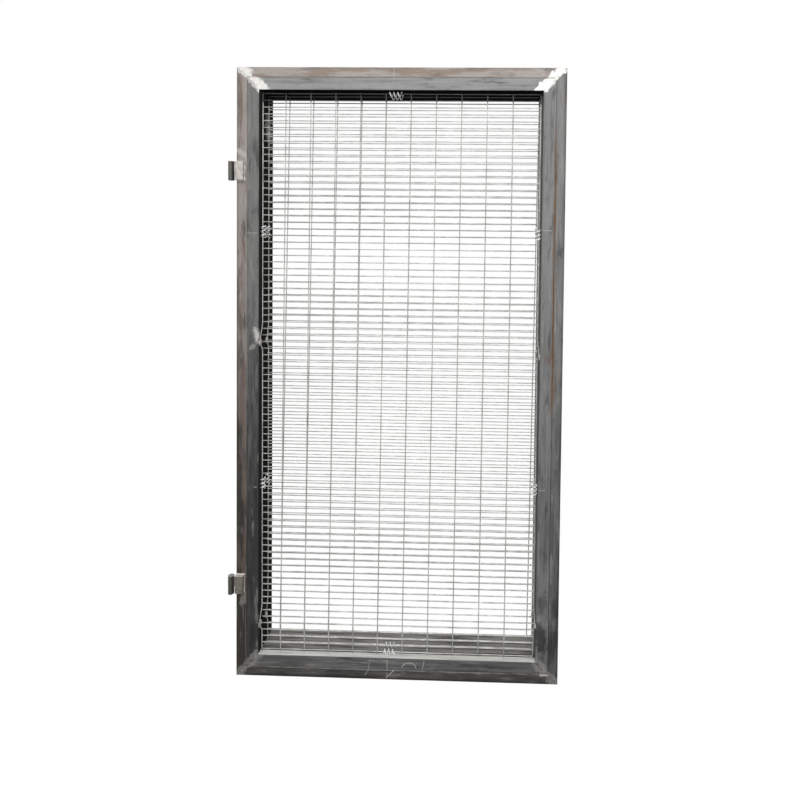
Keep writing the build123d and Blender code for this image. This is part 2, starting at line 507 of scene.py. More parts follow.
@dataclass(frozen=True)
class DrawnWire:
    """Cold-drawn steel wire with a thin zinc coat, gone dull: light grey, satin, with fine draw lines."""

    name: str
    light: str
    dark: str
    stain: str
    roughness: float
    metallic: float
    stain_share: float = 0.3
    shaded_above: float | None = None

    def make(self) -> Material:
        """Build the material. Above a height, if one is given, it is darkened: painted shade under the top
        rail.
        """
        made = Surface(self.name, 0.5)
        blotches = made.noise(45, EVEN, 4.0)
        fine = made.noise(6, EVEN, 3.0, 5.0)
        # Draw lines are hundredths of a millimetre wide; here 0.8 mm, so that they show
        lines = made.noise(0.8, (4, 1, 4), 2.0, 9.0)
        colour = made.mix(made.span(blotches, 0.3, 0.7), self.dark, self.light)
        colour = made.mix(made.span(fine, 0.5, 0.68, 0.0, self.stain_share), colour, self.stain)
        if self.shaded_above is not None:
            # Painted shade: the wires just under the top rail are darkened where the rail keeps the light off
            # them
            top_shade = made.span(made.axes[2], self.shaded_above, self.shaded_above + 14 * MM, 0.0, 0.88)
            colour = made.mix(top_shade, colour, "242423")
        rough = made.span(fine, 0.3, 0.7, self.roughness - 0.08, self.roughness + 0.12)
        return made.finish(colour, rough, self.metallic, [(lines, 0.05 * MM), (fine, 0.08 * MM)])


@dataclass(frozen=True)
class WeldMetal:
    """Weld metal as the torch left it: silver-grey ripples, straw and blue heat tints, a little smoke."""

    name: str
    light: str
    tint: str

    def make(self) -> Material:
        """Build the material."""
        made = Surface(self.name, 0.4)
        heat = made.noise(14, EVEN, 3.0)
        soot = made.noise(5, EVEN, 4.0, 6.0)
        colour = made.mix(made.span(heat, 0.35, 0.62), self.light, self.tint)
        colour = made.mix(made.span(soot, 0.55, 0.7, 0.0, 0.6), colour, "3a3533")
        rough = made.span(soot, 0.3, 0.7, 0.3, 0.55)
        return made.finish(colour, rough, 0.45, [(soot, 0.3 * MM)])


@dataclass(frozen=True)
class ForgedSteel:
    """Drop-forged steel of weld-on hinges.

    The plate is brushed and has a brown film of handling rust; its upper edge is painted bright as the lit
    top face. The barrel kept its black forging scale, with a painted highlight down its middle, painted shade
    on its sides and painted light on its top.
    """

    name: str
    light: str
    dark: str
    rust: str
    rust_share: float
    barrel_highlight: str
    barrel_side_shade: str = "211f1d"

    def make(self, leaf: Leaf, plate: str, pin: str) -> Material:
        """Build the material.

        Args:
            leaf: the leaf's sizes, for where the barrel begins.
            plate: the node with the plate, for its upper edge.
            pin: the node on the barrel's axis.

        Returns:
            The material.
        """
        made = Surface(self.name, 0.4)
        # Brush lines are 0.1 mm wide; here 1 mm, so that they show
        brushed = made.noise(1, (10, 1, 1), 2.0)
        blotches = made.noise(18, EVEN, 4.0, 2.0)
        pits = made.noise(2, EVEN, 3.0, 8.0)
        tone = made.sum("MULTIPLY_ADD", brushed, 0.5, made.product(blotches, 0.5))
        colour = made.mix(made.span(tone, 0.38, 0.62), self.dark, self.light)
        film = made.span(blotches, 0.62 - self.rust_share, 0.8 - self.rust_share, 0.0, 0.7)
        colour = made.mix(film, colour, self.rust)
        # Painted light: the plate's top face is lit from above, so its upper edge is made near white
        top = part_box(plate)[1].z
        painted_top_light = made.span(made.axes[2], top - 7 * MM, top - 3 * MM, 0.0, 0.85)
        colour = made.mix(painted_top_light, colour, "dddbd7")

        # Barrel: black forging scale with a painted highlight down the middle, painted shade on the sides and
        # painted light on the top
        low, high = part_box(pin)
        aside = made.swing(made.apart(made.axes[0], (low.x + high.x) / 2), blotches, 6 * MM)
        barrel_scale_and_shade = made.mix(made.span(aside, 2 * MM, 8 * MM), self.barrel_highlight, self.barrel_side_shade)
        barrel_scale_and_shade = made.mix(made.product(painted_top_light, 0.6), barrel_scale_and_shade, "b9b7b2")
        on_barrel = made.span(made.axes[0], leaf.left - 5 * MM, leaf.left - 1 * MM, 1.0, 0.0)
        colour = made.mix(on_barrel, colour, barrel_scale_and_shade)
        rough = made.blend(on_barrel, made.span(tone, 0.3, 0.7, 0.36, 0.54), 0.6)
        metal = made.blend(on_barrel, made.blend(film, 0.4, 0.12), 0.1)
        return made.finish(colour, rough, metal, [(brushed, 0.08 * MM), (pits, 0.1 * MM)])


@dataclass(frozen=True)
class Chalk:
    """Workshop chalk rubbed on steel: dry, white, thin where it skipped over the scale."""

    name: str
    white: str = "e9e8e4"
    thin: str = "a7a6a3"

    def make(self) -> Material:
        """Build the material."""
        made = Surface(self.name, 0.2)
        grains = made.noise(1.6, EVEN, 3.0)
        colour = made.mix(made.span(grains, 0.4, 0.62), self.thin, self.white)
        return made.finish(colour, 0.95, 0.0, [(grains, 0.1 * MM)])


class Form:
    """Rings and strips of points that become one mesh."""

    def __init__(self, name: str) -> None:
        """Start an empty form.

        Args:
            name: the name of the piece.
        """
        self.name = name
        self.points: list[tuple[float, float, float]] = []
        self.faces: list[tuple[int, ...]] = []

    def grid(self, rows: Sequence[Sequence[Vector]], closed: bool) -> None:
        """Join rows of points with faces.

        Args:
            rows: rows of equal length.
            closed: whether each row is a ring.
        """
        start, count = len(self.points), len(rows[0])
        for row in rows:
            self.points.extend(tuple(p) for p in row)
        steps = count if closed else count - 1
        for i in range(len(rows) - 1):
            for j in range(steps):
                a = start + i * count + j
                b = start + i * count + (j + 1) % count
                self.faces.append((a, b, b + count, a + count))

    def cap(self, first: bool, rows: int, count: int) -> None:
        """Close one end of the tube that was added last.

        Args:
            first: whether it is the first ring.
            rows: how many rings the tube has.
            count: how many points a ring has.
        """
        start = len(self.points) - rows * count
        if first:
            self.faces.append(tuple(start + j for j in reversed(range(count))))
        else:
            self.faces.append(tuple(start + (rows - 1) * count + j for j in range(count)))

    def rod(
        self,
        path: Sequence[Vector],
        radius: Callable[[float], float] | float,
        sides: int,
        up: Vector,
        squash: float = 1.0,
    ) -> None:
        """Add a rod along a path, with its ends closed.

        Args:
            path: the points of its centre line.
            radius: its radius, or a function of the share of the way along.
            sides: how many sides its section has.
            up: the direction that the section keeps to.
            squash: how thick it is along up, as a share of its width.
        """
        rows = []
        last = len(path) - 1
        for i, point in enumerate(path):
            ahead = (path[min(i + 1, last)] - path[max(i - 1, 0)]).normalized()
            across = ahead.cross(up).normalized()
            lift = across.cross(ahead).normalized()
            size = radius(i / last) if callable(radius) else radius
            ring = []
            for j in range(sides):
                turn = 2 * math.pi * j / sides
                wide, high = size * math.cos(turn), size * squash * math.sin(turn)
                ring.append(point + across * wide + lift * high)
            rows.append(ring)
        self.grid(rows, True)
        self.cap(True, len(rows), sides)
        self.cap(False, len(rows), sides)

    def make(self, material: Material, body: str, slot: str) -> bpy.types.Object:
        """Turn the form into a piece that rides on a body.

        Args:
            material: its finish.
            body: the CAD body that it rides on.
            slot: the record's material slot; not used.

        Returns:
            The piece.
        """
        mesh = bpy.data.meshes.new(self.name)
        mesh.from_pydata(self.points, [], self.faces)
        mesh.update()
        mesh.polygons.foreach_set("use_smooth", [True] * len(mesh.polygons))
        mesh.materials.append(material)
        piece = place_object(self.name, mesh)
        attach(piece, body)
        LOG.info("%s: %d faces on %s", self.name, len(self.faces), body)
        return piece


@dataclass
class FrameTubes:
    """The twelve mitred tubes. They stay as the CAD has them and get their mill scale."""

    leaf: Leaf
    rings: tuple[str, ...] = ("outer", "front", "rear")

    def smears(self) -> dict[str, tuple[Smear, ...]]:
        """The stiles' patches, by the tube's name without its ring."""
        left, right, foot = self.leaf.left, self.leaf.right, self.leaf.foot
        burnt = "262422"
        return {
            "outer_hinge_stile": (
                Smear(left + 24 * MM, foot + 2.092, 34 * MM, 11 * MM, -32, 0.8, "c9c2bc"),
                Smear(left + 30 * MM, foot + 0.311, 15 * MM, 26 * MM, -20, 0.6, "9d9892"),
            ),
            "outer_lock_stile": (
                Smear(right - 24 * MM, foot + 0.160, 24 * MM, 90 * MM, -8, 0.5, burnt),
                Smear(right - 16 * MM, foot + 0.300, 14 * MM, 46 * MM, 8, 0.4, burnt),
            ),
            "inner_hinge_stile": (
                Smear(left + 83 * MM, foot + 1.376, 11 * MM, 34 * MM, 12, 0.9, "d6d4d0"),
                Smear(left + 64 * MM, foot + 1.330, 10 * MM, 14 * MM, -30, 0.5),
                Smear(left + 84 * MM, foot + 0.236, 9 * MM, 24 * MM, 10, 0.45, "8b8985"),
                Smear(self.leaf.front + 92 * MM, foot + 2.202, 34 * MM, 52 * MM, 20, 0.85, "a5a4a1", True),
            ),
            "inner_lock_stile": (
                Smear(right - 78 * MM, foot + 1.325, 14 * MM, 30 * MM, 0, 0.4, "7f8474"),
                Smear(right - 66 * MM, foot + 1.300, 12 * MM, 24 * MM, 0, 0.35, "8a6f63"),
                Smear(right - 80 * MM, foot + 0.248, 13 * MM, 34 * MM, -8, 0.65, "a5a39f"),
                Smear(right - 74 * MM, foot + 0.190, 28 * MM, 80 * MM, 12, 0.7, burnt),
                Smear(right - 62 * MM, foot + 0.330, 20 * MM, 50 * MM, -10, 0.4, burnt),
            ),
        }

    def finishes(self) -> dict[str, MillScale]:
        """The finish of each tube, by the tube's name without its ring."""
        # The tubes' tones also hold painted light and shade: one steel in lit and shaded copies, by how the
        # light falls on each tube. The first colour below is a painted seam highlight, the third painted wire
        # shadow
        pale, rust, wire_shadow_tone = "a09e9a", "866b50", "222120"
        # Light, dark, bloom, its share, seam (painted highlight, rust on the lock side), its share, flank,
        # rear flank (both with painted light and shade), band (painted wire shadows), rim share, rise share
        # (painted light towards the head)
        lit_tones = {
            "outer_top_rail": (
                "b9b1ac", "827b77", "978779", 0.22, "c4beb8", 0.75, "8a807b", "8a807b", wire_shadow_tone, 0.08, 0.3
            ),
            "outer_bottom_rail": (
                "9a9793", "504e4c", "4a4643", 0.12, pale, 0.6, "605b58", "605b58", wire_shadow_tone, 0.75, 0.2
            ),
            "outer_hinge_stile": (
                "a89f9a", "4a4643", "7a6c64", 0.2, "c4beb8", 0.7, "7d7470", "7d7470", wire_shadow_tone, 0.3, 0.5
            ),
            "outer_lock_stile": (
                "959493", "605f60", "74685f", 0.1, rust, 0.8, "777574", "777574", wire_shadow_tone, 0.45, 0.24
            ),
            "inner_top_rail": (
                "a5a5a6", "727273", "6d6663", 0.06, pale, 0.5, "0d0d0c", "0d0d0c", "080808", 0.0, 0.2
            ),
            "inner_bottom_rail": (
                "a8a8a9", "646465", "5c5753", 0.08, pale, 0.5, "dad9d5", "8f8d89", wire_shadow_tone, 0.0, 0.2
            ),
            "inner_hinge_stile": (
                "868685", "464647", "5f5855", 0.06, pale, 0.45, "343433", "2b2b2a", "1a1a19", 0.0, 0.4
            ),
            "inner_lock_stile": (
                "979797", "6c6c6e", "6f6865", 0.06, rust, 0.8, "84867f", "b0b0ae", "5c5e58", 0.0, 0.16
            ),
        }
        smears, made = self.smears(), {}
        for number, (name, tone) in enumerate(lit_tones.items(), 1):
            run = Run.RAIL if name.endswith("rail") else Run.STILE
            fades = name.endswith("lock_stile")
            made[name] = MillScale(
                f"mill_scale_{name}",
                run,
                *tone,
                shift=float(number),
                seam_fades=fades,
                smears=smears.get(name, ()),
            )
        return made

    def dress(self) -> None:
        """Give every tube its finish."""
        made = {name: finish.make(self.leaf) for name, finish in self.finishes().items()}
        for ring in self.rings:
            kind = "outer" if ring == "outer" else "inner"
            for side in ("top_rail", "bottom_rail", "hinge_stile", "lock_stile"):
                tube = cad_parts[f"{ring}_{side}"]
                tube.data.materials.clear()
                tube.data.materials.append(made[f"{kind}_{side}"])
                LOG.info("%s_%s dressed", ring, side)


@dataclass
class MitreWelds:
    """Welds along the mitres, ground nearly flush, that fill the valley between the tubes."""

    leaf: Leaf
    half_width: float = 6.5 * MM
    proud: float = 0.5 * MM
    fill: float = 3.2 * MM
    box_gap: float = 0.05 * MM
    margin: float = 2 * MM
    edge_sink: float = 0.25 * MM
    steps: int = 46
    across: int = 8
    seed: int = 5
    draws: random.Random = field(init=False)

    def __post_init__(self) -> None:
        """Seed the draws that fray the welds."""
        self.draws = random.Random(self.seed)

    def weld(self, left: bool, high: bool, side: Side, finish: Material) -> None:
        """Build the weld of one corner on one side.

        Args:
            left: whether it is on the hinge side.
            high: whether it is at the head.
            side: which broad side.
            finish: the weld's finish.
        """
        leaf = self.leaf
        out = -1 if side is Side.FRONT else 1
        rows = []
        for i in range(self.steps + 1):
            inset = self.margin + (leaf.frame_face - 2 * self.margin) * i / self.steps
            ripple = 0.5 + 0.5 * math.sin(i * 1.9 + self.draws.uniform(-0.4, 0.4))
            wide = self.half_width * self.draws.uniform(0.75, 1.15)
            row = []
            for j in range(self.across + 1):
                share = 2 * j / self.across - 1
                slide = share * wide * math.sqrt(0.5)
                along_x = min(max(inset + slide, 0.0), leaf.frame_face)
                along_z = min(max(inset - slide, 0.0), leaf.frame_face)
                near = min(along_x, along_z)
                skin = leaf.skin(near, side)
                flat = leaf.front if side is Side.FRONT else leaf.back
                if leaf.corner < near < leaf.frame_face - leaf.corner:
                    skin = flat - out * min(abs(skin - flat), leaf.corner - self.fill)
                crown = (1 - share * share) * (0.7 + 0.5 * ripple)
                lift = self.proud * crown - (self.edge_sink if abs(share) > 0.99 else 0.0)
                x = leaf.left + along_x if left else leaf.right - along_x
                z = leaf.head - along_z if high else leaf.foot + along_z
                y = skin + out * lift
                row.append(Vector((x, min(y, leaf.back - self.box_gap), z)))
            rows.append(row)
        if (left != high) == (side is Side.FRONT):
            rows.reverse()
        name = f"mitre_weld_{side.value}_{'head' if high else 'foot'}_{'hinge' if left else 'lock'}"
        form = Form(name)
        form.grid(rows, False)
        form.make(finish, LEAF_BODY, "weld_metal")

    def build(self) -> None:
        """Build all eight welds."""
        bright = WeldMetal("weld_metal_ground_bright", "dad8d4", "aeaca8").make()
        dull = WeldMetal("weld_metal_ground_dull", "8b8986", "5f5c59").make()
        for side in Side:
            for left in (True, False):
                self.weld(left, True, side, bright)
                self.weld(left, False, side, dull)


# How the inner uprights drift, in mm: even, with the rise, with the distance from the lock side, with both,
# with its square, and with its square and the rise. Fitted to 59 measured lines of the photo, which leaves
# 1.8 mm (front) and 2.6 mm (rear) root mean square
DRIFT_MM = {
    Side.FRONT: (-5.0, 4.3, -51.3, 51.9, 47.7, -40.9),
    Side.REAR: (0.8, 6.9, -74.5, 25.5, 41.5, 9.5),
}


@dataclass
class WireMat:
    """One welded wire mat: round uprights and rows, each row pressed a little into the uprights."""

    leaf: Leaf
    side: Side
    finish: Material
    diameter: float = 4 * MM
    sink: float = 0.5 * MM
    sides: int = 8
    bow: float = 0.5 * MM
    pull: float = 5.5 * MM
    pull_forward: float = 11 * MM
    pull_above: float = 85 * MM
    pull_below: float = 30 * MM
    seed: int = 11
    draws: random.Random = field(init=False)

    steps: int = 160
    tack_reach: float = 50 * MM
    lock_lean: tuple[float, float] = (-16 * MM, 20 * MM)
    draws: random.Random = field(init=False)
    places: list[Vector] = field(init=False)
    tacks: list[Vector] = field(init=False)

    def __post_init__(self) -> None:
        """Seed the draws that bend the wires."""
        self.draws = random.Random(self.seed + len(self.side.value))

    def wires(self, node: str, axis: int) -> list[tuple[Vector, Vector]]:
        """Read the separate wires of a CAD node.

        Args:
            node: the node's name.
            axis: the axis across which the wires lie side by side.

        Returns:
            The lowest and highest corner of each wire.
        """
        groups: list[list[Vector]] = []
        for point in sorted(points_of(node), key=lambda p: p[axis]):
            if not groups or point[axis] - groups[-1][-1][axis] > self.diameter:
                groups.append([])
            groups[-1].append(point)
        return [extent(group) for group in groups]

    def aside(self, number: int, level: float, share: float) -> float:
        """How far an upright stands beside its plumb line.

        Args:
            number: which upright, counted from the hinge side.
            level: the height along Z.
            share: the share of the way up the wire.

        Returns:
            The distance along X: the inner wires drift, the edge wires are drawn to their tacks, and the rear
            edge wire on the lock side leans.
        """
        x, first, last = (self.places[i].x for i in (number, 0, -1))
        if first < x < last:
            rise = (level - self.leaf.foot) / (self.leaf.head - self.leaf.foot)
            from_lock = (last - x) / (last - first)
            terms = (1, rise, from_lock, from_lock * rise, from_lock**2, from_lock**2 * rise)
            return sum(size * term for size, term in zip(DRIFT_MM[self.side], terms)) * MM
        if self.side is Side.REAR and x == last:
            return self.lock_lean[0] + self.lock_lean[1] * share
        return math.copysign(self.pull * self.drawn(x, level), x - self.leaf.centre[0])

    def drawn(self, x: float, level: float) -> float:
        """How much of its bend to a tack an edge wire has at a height.

        Args:
            x: the wire's place.
            level: the height along Z.

        Returns:
            1 at a tack and 0 away from all of them.
        """
        most = 0.0
        for tack in self.tacks:
            if abs(tack.x - x) < self.tack_reach:
                away = level - tack.z
                most = max(most, 1 - (away / self.pull_above if away > 0 else -away / self.pull_below))
        return most * most * (3 - 2 * most)

    def build(self) -> None:
        """Build the uprights and the rows, and let them stand for the CAD's wires."""
        columns = self.wires(f"{self.side.value}_mat_uprights", 0)
        levels = self.wires(f"{self.side.value}_mat_rows", 2)
        self.places = [(low + high) / 2 for low, high in columns]
        beads = quarters(f"{self.side.value}_tacks").values()
        self.tacks = [sum(bead, Vector()) / len(bead) for bead in beads]
        upright_y = self.places[0].y
        row_y = ((levels[0][0] + levels[0][1]) / 2).y
        toward = math.copysign(self.sink, upright_y - row_y)
        radius, last = self.diameter / 2, len(self.places) - 1

        uprights = Form(f"{self.side.value}_mat_upright_wires")
        for number, (low, high) in enumerate(columns):
            x = self.places[number].x
            sway = self.draws.uniform(-self.bow, self.bow)
            path = []
            for i in range(self.steps + 1):
                share = i / self.steps
                level = low.z + (high.z - low.z) * share
                bend = sway * math.sin(math.pi * share) + self.aside(number, level, share)
                pulled = self.side is Side.FRONT and number in (0, last)
                ahead = self.pull_forward * self.drawn(x, level) if pulled else 0.0
                path.append(Vector((x + bend, upright_y - ahead, level)))
            uprights.rod(path, radius, self.sides + 2, INTO)
        piece = uprights.make(self.finish, LEAF_BODY, "mat_wire")
        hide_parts(f"{self.side.value}_mat_uprights")

        rows = Form(f"{self.side.value}_mat_row_wires")
        for low, high in levels:
            level = (low.z + high.z) / 2
            phase = self.draws.uniform(0, 6.28)
            tilt = self.draws.uniform(-1.0, 1.0) * self.bow
            path = []
            for number, place in enumerate(self.places):
                share = number / last
                height = level + tilt * (share - 0.5) + self.bow * 0.5 * math.sin(phase + share * 7)
                if number == 0:
                    path.append(Vector((low.x, row_y, height)))
                path.append(Vector((place.x, row_y + toward, height)))
                if number < last:
                    middle = (place.x + self.places[number + 1].x) / 2
                    path.append(Vector((middle, row_y, height + self.draws.uniform(-0.3, 0.3) * self.bow)))
                else:
                    path.append(Vector((high.x, row_y, height)))
            rows.rod(path, radius, self.sides, INTO)
        piece = rows.make(self.finish, LEAF_BODY, "mat_wire")
        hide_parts(f"{self.side.value}_mat_rows")


@dataclass
class SpiralClips:
    """Round-wire spiral clips in the places of the CAD's faceted ones."""

    finish: Material
    wire: float = 4.0 * MM
    turns: int = 3
    steps: int = 20
    sides: int = 10

    def clip(self, node: str) -> None:
        """Build one clip.

        Args:
            node: the CAD node that it stands for.
        """
        low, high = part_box(node)
        size = high - low
        axis = max(range(3), key=lambda i: size[i])
        corners = points_of(node)
        start = min(p[axis] for p in corners)
        centre = (low + high) / 2
        along = Vector([1.0 if i == axis else 0.0 for i in range(3)])
        near = [p for p in corners if p[axis] - start < self.wire]
        first = sum(near, Vector()) / len(near) - centre
        out = (first - along * first.dot(along)).normalized()
        turn_side = along.cross(out)
        radius = (max(size[i] for i in range(3) if i != axis) - self.wire) / 2
        pitch = (size[axis] - self.wire) / self.turns
        count = self.turns * self.steps
        path = []
        for i in range(count + 1):
            turn = 2 * math.pi * i / self.steps
            travel = pitch * (i / self.steps - self.turns / 2)
            level, beside = out * (radius * math.cos(turn)), turn_side * (radius * math.sin(turn))
            path.append(centre + along * travel + level + beside)
        form = Form(f"{node}_wire")
        form.rod(path, self.wire / 2, self.sides, along)
        piece = form.make(self.finish, LEAF_BODY, "spiral_wire")
        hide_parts(node)

    def build(self) -> None:
        """Build every clip."""
        for side in Side:
            for place in ("top", "bottom", "hinge_low", "hinge_high", "lock_low", "lock_high"):
                self.clip(f"{side.value}_spiral_{place}")


def swell(share: float, margin: float) -> float:
    """Height of a lump at a share of its length, kept up by a margin at its ends."""
    return math.sin(math.pi * min(max(share, margin), 1 - margin))


@dataclass
class Tacks:
    """Weld tacks between the mats' edge wires and the stiles, as rippled beads."""

    leaf: Leaf
    finish: Material
    ripple: float = 0.12
    bead_steps: int = 8
    tack_steps: int = 14
    edge_bead: float = 3.5 * MM
    edge_bead_span: tuple[float, float] = (8 * MM, -14 * MM)
    seed: int = 3

    def bead_on_edge(self, place: str, tack: Vector) -> None:
        """Build the lump of weld metal where a bent edge wire meets the stile's front edge.

        Args:
            place: which corner it is near.
            tack: the middle of the tack behind it.
        """
        leaf, count = self.leaf, self.bead_steps
        on_left = tack.x < leaf.centre[0]
        off_edge = leaf.frame_face + 0.5 * MM
        edge = leaf.left + off_edge if on_left else leaf.right - off_edge
        draws = random.Random(self.seed + len(place))
        lumps = [draws.uniform(0.8, 1.15) for _ in range(count + 1)]
        start, end = (tack.z + reach for reach in self.edge_bead_span)

        def size(share: float) -> float:
            """Radius of the bead at a share of its way down."""
            return self.edge_bead * lumps[round(share * count)] * swell(share, 0.06) ** 0.6

        bead = Form(f"edge_bead_{place}")
        y = leaf.front + 5 * MM
        path = [Vector((edge, y, start + (end - start) * i / count)) for i in range(count + 1)]
        bead.rod(path, size, 10, INTO)
        bead.make(self.finish, LEAF_BODY, "weld_metal")

    def build(self) -> None:
        """Build the beads of both mats."""
        draws = random.Random(self.seed)
        count = self.tack_steps
        for side in Side:
            node = f"{side.value}_tacks"
            parts = quarters(node)
            form = Form(f"{node}_beads")
            for left in (True, False):
                for low_half in (True, False):
                    low, high = extent(parts[left, low_half])
                    centre, half = (low + high) / 2, (high - low) / 2
                    if side is Side.FRONT:
                        corner = f"{'hinge' if left else 'lock'}_{'low' if low_half else 'high'}"
                        self.bead_on_edge(corner, centre)
                    levels = [low.z + (high.z - low.z) * i / count for i in range(count + 1)]
                    path = [Vector((centre.x, centre.y, level)) for level in levels]
                    waves = [draws.uniform(-self.ripple, self.ripple) for _ in path]

                    def size(share: float) -> float:
                        """Radius of the bead at a share of the way along."""
                        wave = waves[round(share * count)]
                        return half.x * 1.05 * (0.35 + 0.75 * swell(share, 0.04) ** 0.5 + wave)

                    form.rod(path, size, 10, INTO)
            piece = form.make(self.finish, LEAF_BODY, "weld_metal")
            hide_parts(node)


@dataclass
class Hinges:
    """The two weld-on hinges: forged steel on the CAD's shapes, with rippled welds round the plates."""

    leaf: Leaf
    bead: float = 2.6 * MM
    step: float = 1.6 * MM
    fillet: float = 4 * MM
    start: float = 6 * MM
    ahead: float = 1.2 * MM
    seed: int = 8

    def dress(self) -> None:
        """Give the hinges their finishes and welds."""
        upper = ForgedSteel("forged_steel_bright", "d8d2ce", "a39c98", "85766b", 0.02, "6b6662")
        lower = ForgedSteel("forged_steel_brown", "8f8a80", "59544c", "5f5245", 0.1, "55514b")
        weld = WeldMetal("weld_metal_hinge", "d6d3cd", "958a7e").make()
        for place, forged in (("upper", upper), ("lower", lower)):
            finish = forged.make(self.leaf, f"{place}_hinge_leaf", f"{place}_hinge_pin")
            for half in ("leaf", "post", "pin"):
                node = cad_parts[f"{place}_hinge_{half}"]
                node.data.materials.clear()
                node.data.materials.append(finish)
            self.weld_round(place, weld)

    def weld_round(self, place: str, finish: Material) -> None:
        """Lay the weld round the three welded edges of a plate.

        Args:
            place: upper or lower.
            finish: the weld's finish.
        """
        draws = random.Random(self.seed)
        low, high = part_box(f"{place}_hinge_leaf")
        on_fillet = self.fillet * 0.6
        left, right = self.leaf.left + self.start, high.x - on_fillet
        foot, head = low.z + on_fillet, high.z - on_fillet
        y = self.leaf.front - self.ahead
        corners = [Vector((x, y, z)) for x, z in ((left, foot), (right, foot), (right, head), (left, head))]
        path: list[Vector] = []
        for start, end in zip(corners, corners[1:]):
            count = max(2, round((end - start).length / self.step))
            path.extend(start.lerp(end, i / count) for i in range(count))
        path.append(corners[-1])
        swell = [1 + 0.12 * math.sin(i * 2.2) + draws.uniform(-0.08, 0.08) for i in range(len(path))]

        def size(share: float) -> float:
            """Radius of the weld at a share of the way round."""
            return self.bead * swell[round(share * (len(path) - 1))]

        form = Form(f"{place}_hinge_plate_weld")
        form.rod(path, size, 8, INTO, squash=0.8)
        form.make(finish, LEAF_BODY, "weld_metal")


@dataclass
class ChalkMarks:
    """Setting-out marks in chalk on the front of the frame, as thin ribbons."""

    leaf: Leaf
    lift: float = 0.25 * MM
    steps: int = 8
    edge_share: float = 0.4
    seed: int = 21

    def strokes(self) -> list[tuple[str, float, list[tuple[float, float]]]]:
        """The strokes: a name, a width in metres and points along X and Z."""
        leaf = self.leaf
        mid, foot = leaf.centre[0], leaf.foot
        turns = [math.pi * i / 8 for i in range(9)]
        arc = [(53 + 28 * math.cos(turn), 51 + 21 * math.sin(turn)) for turn in turns]
        # Each has its width, the point that it is measured from, and its points from there, in mm
        drawn = (
            ("top_tick", 2.2, (mid, leaf.head), [(-27, -5), (-26, -54)]),
            ("bottom_tick", 2.2, (mid, foot), [(-35, 84), (-35, 10)]),
            ("bottom_arc", 3, (mid, foot), arc),
            ("bottom_slant", 3, (mid, foot), [(-39, 9), (-6, 41)]),
            ("bottom_crook", 1.6, (mid, foot), [(-125, 17), (-110, 38), (-105, 77)]),
            ("bottom_level", 1.4, (mid, foot), [(-105, 75), (-31, 77)]),
            ("bottom_line", 1.8, (mid, foot), [(114, 84), (105, 43)]),
            ("lock_corner_dash", 7, (leaf.right, foot), [(-72, 37), (-31, 38)]),
            ("level_hinge_high", 2, (leaf.left, foot), [(44, 1780), (85, 1780)]),
            ("level_hinge_low", 2, (leaf.left, foot), [(70, 768), (85, 768)]),
            ("level_lock_high", 2, (leaf.right, foot), [(-85, 1801), (-50, 1801)]),
            ("level_lock_low", 2, (leaf.right, foot), [(-85, 780), (-63, 780)]),
        )
        return [
            (f"chalk_{name}", width * MM, [(start[0] + x * MM, start[1] + z * MM) for x, z in points])
            for name, width, start, points in drawn
        ]

    def build(self) -> None:
        """Build every stroke."""
        leaf, count = self.leaf, self.steps
        finish = Chalk("chalk_on_steel").make()
        draws = random.Random(self.seed)
        for name, width, corners in self.strokes():
            rows = []
            for start, end in zip(corners, corners[1:]):
                flow = Vector((end[0] - start[0], 0, end[1] - start[1])).normalized()
                for i in range(count + (end == corners[-1])):
                    share = i / count
                    x, z = (start[k] + (end[k] - start[k]) * share for k in (0, 1))
                    across = Vector((flow.z, 0, -flow.x)) * (width / 2 * draws.uniform(0.6, 1.2))
                    row = []
                    for edge in (-1, 0, 1):
                        spot = Vector((x, 0, z)) + across * edge
                        beside = min(spot.x - leaf.left, leaf.right - spot.x)
                        inset = min(beside, spot.z - leaf.foot, leaf.head - spot.z)
                        spot.y = leaf.skin(inset, Side.FRONT) - self.lift * (self.edge_share if edge else 1.0)
                        row.append(spot)
                    rows.append(row)
            form = Form(name)
            form.grid(rows, False)
            form.make(finish, LEAF_BODY, "frame_steel")


